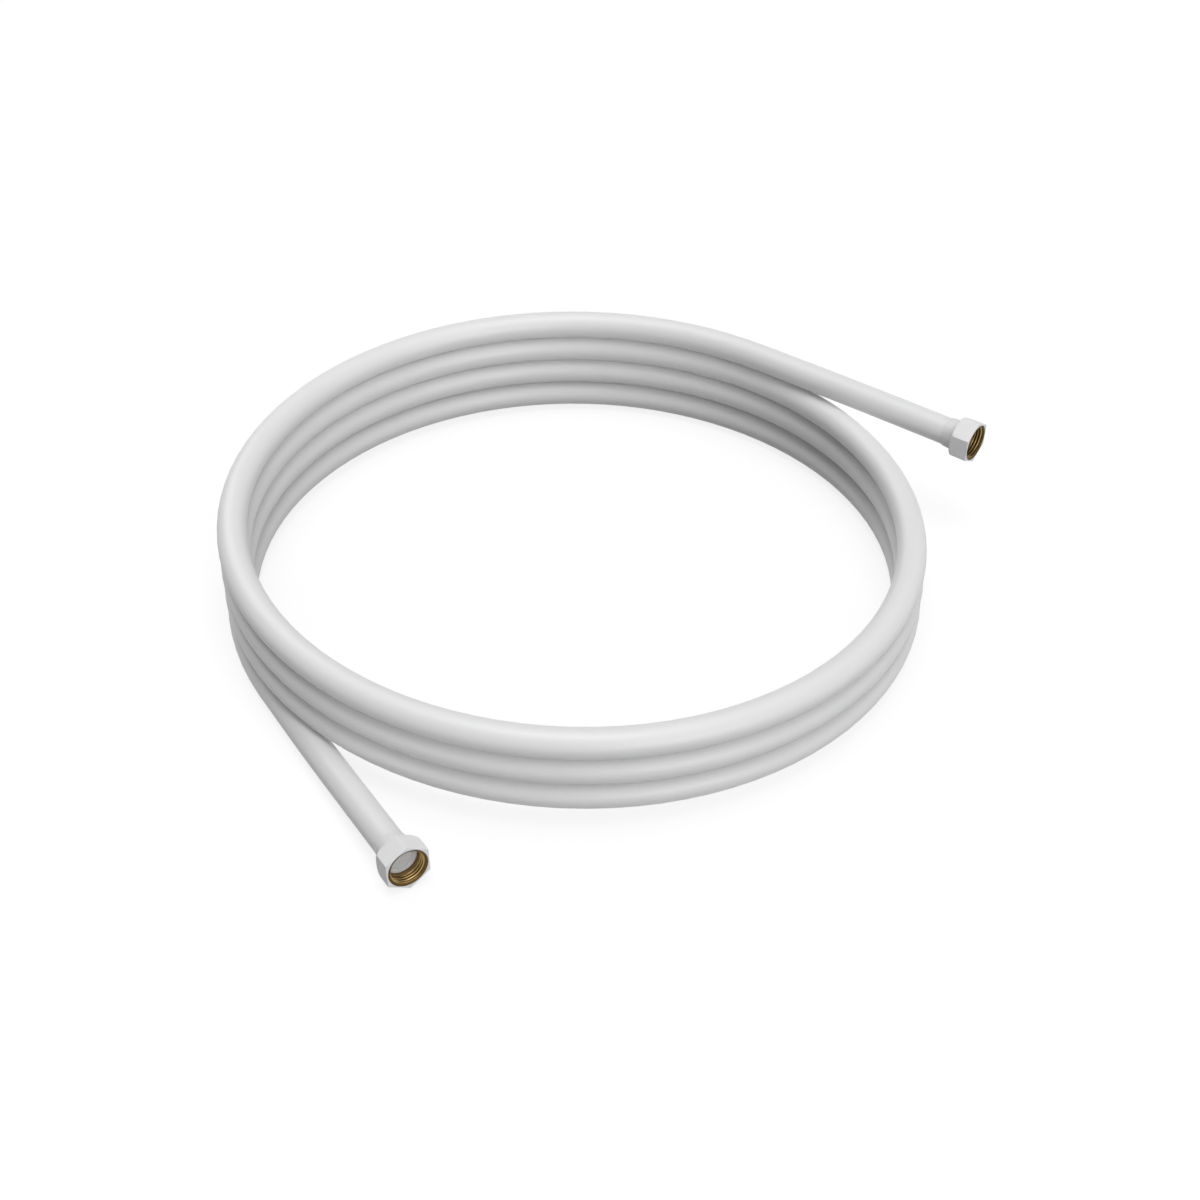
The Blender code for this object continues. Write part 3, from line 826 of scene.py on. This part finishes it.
weave = geometry_tree("woven_disc", {"Disc Radius": STRAINER_R, "Spacing": WIRE_SPACING,
                                     "Wire Radius": WIRE_R, "Steps": WIRE_POINTS})
f = start(weave)
given = weave.nodes.new('NodeGroupInput')
disc, gap = f.out(given, "Disc Radius"), f.out(given, "Spacing")
rows = (disc / gap).math('FLOOR') * 2 + 1
joined = f.tree.nodes.new('GeometryNodeJoinGeometry')
for direction in (0, 1):
    lines = f.node('GeometryNodeMeshGrid', Size_X=2.0, Size_Y=1.0, Vertices_X=f.out(given, "Steps"),
                   Vertices_Y=rows)
    edge_ends = f.node('GeometryNodeInputMeshEdgeVertices')
    first_y = split(f, f.out(edge_ends, "Position 1"))[1]
    second_y = split(f, f.out(edge_ends, "Position 2"))[1]
    cross = f.node('GeometryNodeDeleteGeometry', {"domain": 'EDGE'}, Geometry=f.out(lines, "Mesh"),
                   Selection=(first_y - second_y).abs().math('GREATER_THAN', SAME_ROW))
    spot = f.node('GeometryNodeInputPosition')
    u, v = split(f, f.out(spot, "Position"))[:2]
    row = (v * (rows - 1)).math('ROUND')
    offset = row * gap
    reach = (disc * disc - offset * offset).math('MAXIMUM', 0.0).math('SQRT')
    run = u * reach
    wave = (run / gap * pi + row * pi + direction * pi).cos() * f.out(given, "Wire Radius")
    laid = ((run, offset, wave), (offset, run, wave))[direction]
    bent = f.node('ShaderNodeCombineXYZ', X=laid[0], Y=laid[1], Z=laid[2])
    moved = f.node('GeometryNodeSetPosition', Geometry=f.out(cross, "Geometry"),
                   Position=f.out(bent, "Vector"))
    wires = f.node('GeometryNodeMeshToCurve', Mesh=f.out(moved, "Geometry"))
    section = f.node('GeometryNodeCurvePrimitiveCircle', Resolution=WIRE_SIDES,
                     Radius=f.out(given, "Wire Radius"))
    tubes = f.node('GeometryNodeCurveToMesh', Curve=f.out(wires, "Curve"), Fill_Caps=True)
    f.feed(tubes.inputs["Profile Curve"], f.out(section, "Curve"))
    f.feed(joined.inputs[0], f.out(tubes, "Mesh"))
close_tree(f, f.out(joined, "Geometry"), given)

# %% Strainer
strainer = grow("lower_strainer_mesh", weave, steel)
strainer.data.transform(ENDS["lower"] @ Matrix.Translation((0, 0, -STRAINER_MIDDLE)))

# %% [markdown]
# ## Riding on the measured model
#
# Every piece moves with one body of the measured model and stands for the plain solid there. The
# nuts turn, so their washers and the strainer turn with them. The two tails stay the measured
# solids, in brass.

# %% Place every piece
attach(hose, "hose_body")
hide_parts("hose")
for end in ENDS:
    nut_body = end + "_nut_body"
    for piece, body, node in ((nuts[end], nut_body, end + "_nut"),
                              (washers[end], nut_body, end + "_washer"),
                              (ferrules[end], "hose_body", end + "_ferrule")):
        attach(piece, body)
        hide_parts(node)
    solid_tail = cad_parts[end + "_tail"]
    solid_tail.data.materials.clear()
    solid_tail.data.materials.append(brass[end])
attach(strainer, "lower_nut_body")
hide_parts("lower_strainer")

# %% [markdown]
# ## Floor and light
#
# The photograph has a white ground. White comes from the floor's own finish where the camera sees
# it, directly or in a mirroring surface, and never from more light on the hose. Seen by other rays
# the floor is darker, so little light comes back from below and the undersides stay shaded.

# %% Floor
FLOOR_HALF, FLOOR_DROP = 6, 0.0002
FLOOR_GREY, FLOOR_GLOW, FLOOR_BOUNCE = 0.21, 0.82, 0.24

floor_mesh = bpy.data.meshes.new("floor")
corners = [(x * FLOOR_HALF, y * FLOOR_HALF, -FLOOR_DROP) for x, y in ((-1, -1), (1, -1), (1, 1), (-1, 1))]
floor_mesh.from_pydata(corners, [], [(0, 1, 2, 3)])
floor = bpy.data.objects.new("floor", floor_mesh)
bpy.context.scene.collection.objects.link(floor)
floor_finish = bpy.data.materials.new("pale_floor")
floor_finish.use_nodes = True
tree = floor_finish.node_tree
tree.nodes.clear()
f = start(tree)


def straight_or_mirrored(field, path):
    """Two fields: 1 for the camera's own rays, and 1 for mirrored or refracted ones."""
    mirrored = field.out(path, "Is Glossy Ray").math('MAXIMUM', field.out(path, "Is Transmission Ray"))
    return field.out(path, "Is Camera Ray"), mirrored


lit = f.node('ShaderNodeBsdfDiffuse', Color=(FLOOR_GREY, FLOOR_GREY, FLOOR_GREY, 1.0))
glow = f.node('ShaderNodeEmission', Color=(1.0, 1.0, 1.0, 1.0), Strength=FLOOR_GLOW)
seen = f.tree.nodes.new('ShaderNodeAddShader')
tree.links.new(lit.outputs[0], seen.inputs[0])
tree.links.new(glow.outputs[0], seen.inputs[1])
bounce = f.node('ShaderNodeBsdfDiffuse', Color=(FLOOR_BOUNCE, FLOOR_BOUNCE, FLOOR_BOUNCE, 1.0))
choose = f.tree.nodes.new('ShaderNodeMixShader')
straight, mirrored = straight_or_mirrored(f, f.node('ShaderNodeLightPath'))
f.feed(choose.inputs[0], straight.math('MAXIMUM', mirrored))
tree.links.new(bounce.outputs[0], choose.inputs[1])
tree.links.new(seen.outputs[0], choose.inputs[2])
output = tree.nodes.new('ShaderNodeOutputMaterial')
tree.links.new(choose.outputs[0], output.inputs[0])
floor_mesh.materials.append(floor_finish)

# %% [markdown]
# The white ground curves up behind the object in a studio. Mirrored rays see that low white wall,
# which fades out with height, and the camera sees white everywhere. All other rays get a dim, even
# sky. The shape of the light comes from four far lamps as broad as windows.

# %% Sky and lamps
SKY = 0.20
WHITE_UP_TO, WHITE_FADE = 0.10, 0.30
SOFTNESS = 38.0

world = bpy.data.worlds.new("studio")
bpy.context.scene.world = world
world.use_nodes = True
tree = world.node_tree
background = tree.nodes["Background"]
background.inputs["Color"].default_value = (1.0, 1.0, 1.0, 1.0)
f = start(tree)
straight, mirrored = straight_or_mirrored(f, f.node('ShaderNodeLightPath'))
where = f.node('ShaderNodeTexCoord')
up = split(f, f.out(where, "Generated"))[2]
white_wall = 1 - ((up - WHITE_UP_TO) / WHITE_FADE).clamp()
white_part = straight.math('MAXIMUM', mirrored * white_wall)
f.feed(background.inputs["Strength"], white_part * (1 - SKY) + SKY)


def soft_light(name, azimuth, elevation, share):
    """A broad far light. Azimuth 0 is the front; a share of 1 lights a white wall fully."""
    data = bpy.data.lights.new(name, 'SUN')
    data.energy = pi * share
    data.angle = radians(SOFTNESS)
    lamp = bpy.data.objects.new(name, data)
    across = cos(radians(elevation))
    towards = Vector((sin(radians(azimuth)) * across, -cos(radians(azimuth)) * across,
                      sin(radians(elevation))))
    lamp.location = towards * 2
    lamp.rotation_euler = towards.to_track_quat('Z', 'Y').to_euler()
    bpy.context.scene.collection.objects.link(lamp)


soft_light("overhead", 0, 88, 0.415)
soft_light("front_window", 0, 12, 0.37)
soft_light("front_high", 0, 55, 0.155)
soft_light("back_window", 180, 35, 0.22)
